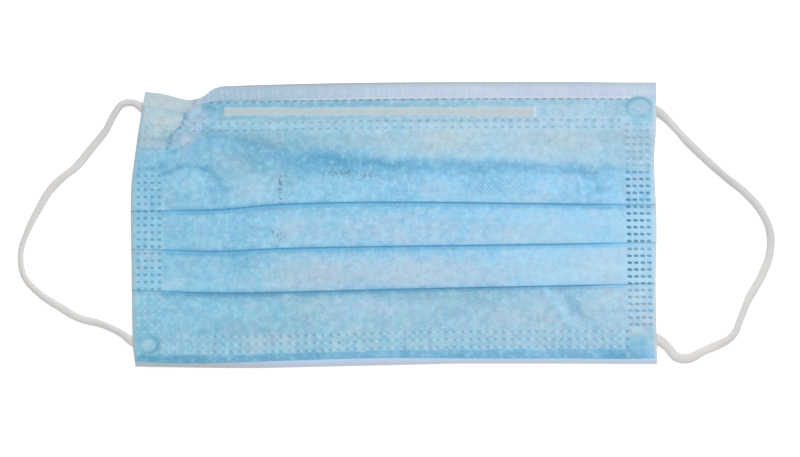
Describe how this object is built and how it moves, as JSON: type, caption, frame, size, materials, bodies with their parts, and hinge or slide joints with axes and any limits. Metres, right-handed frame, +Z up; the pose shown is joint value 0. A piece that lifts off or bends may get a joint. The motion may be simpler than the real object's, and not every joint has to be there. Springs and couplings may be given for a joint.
{
  "type": "disposable face mask",
  "caption": "Pleated disposable face mask of nonwoven cloth lying flat, with a nose wire in its top hem and a soft elastic ear loop at each side.",
  "frame": {"origin": "on the surface that the mask lies on, under the middle of the mask body, ear loops left out", "axes": "+X along the long side, to the right as seen from the outer side with the nose edge up; +Y from the chin edge to the nose edge; +Z up, out of the outer side"},
  "size_m": [0.2525, 0.0953, 0.008],
  "materials": {
    "outer_nonwoven": "matt light blue spunbond nonwoven with fine bonding points",
    "inner_nonwoven": "matt white spunbond nonwoven",
    "wire_cover": "satin off-white plastic over a soft wire",
    "ear_loop_elastic": "matt off-white knitted elastic"
  },
  "bodies": {
    "root": {"outer_layer": "outer_nonwoven", "inner_layer": "inner_nonwoven", "nose_wire": "wire_cover", "ear_loop_left": "ear_loop_elastic", "ear_loop_right": "ear_loop_elastic"}
  },
  "joints": []
}
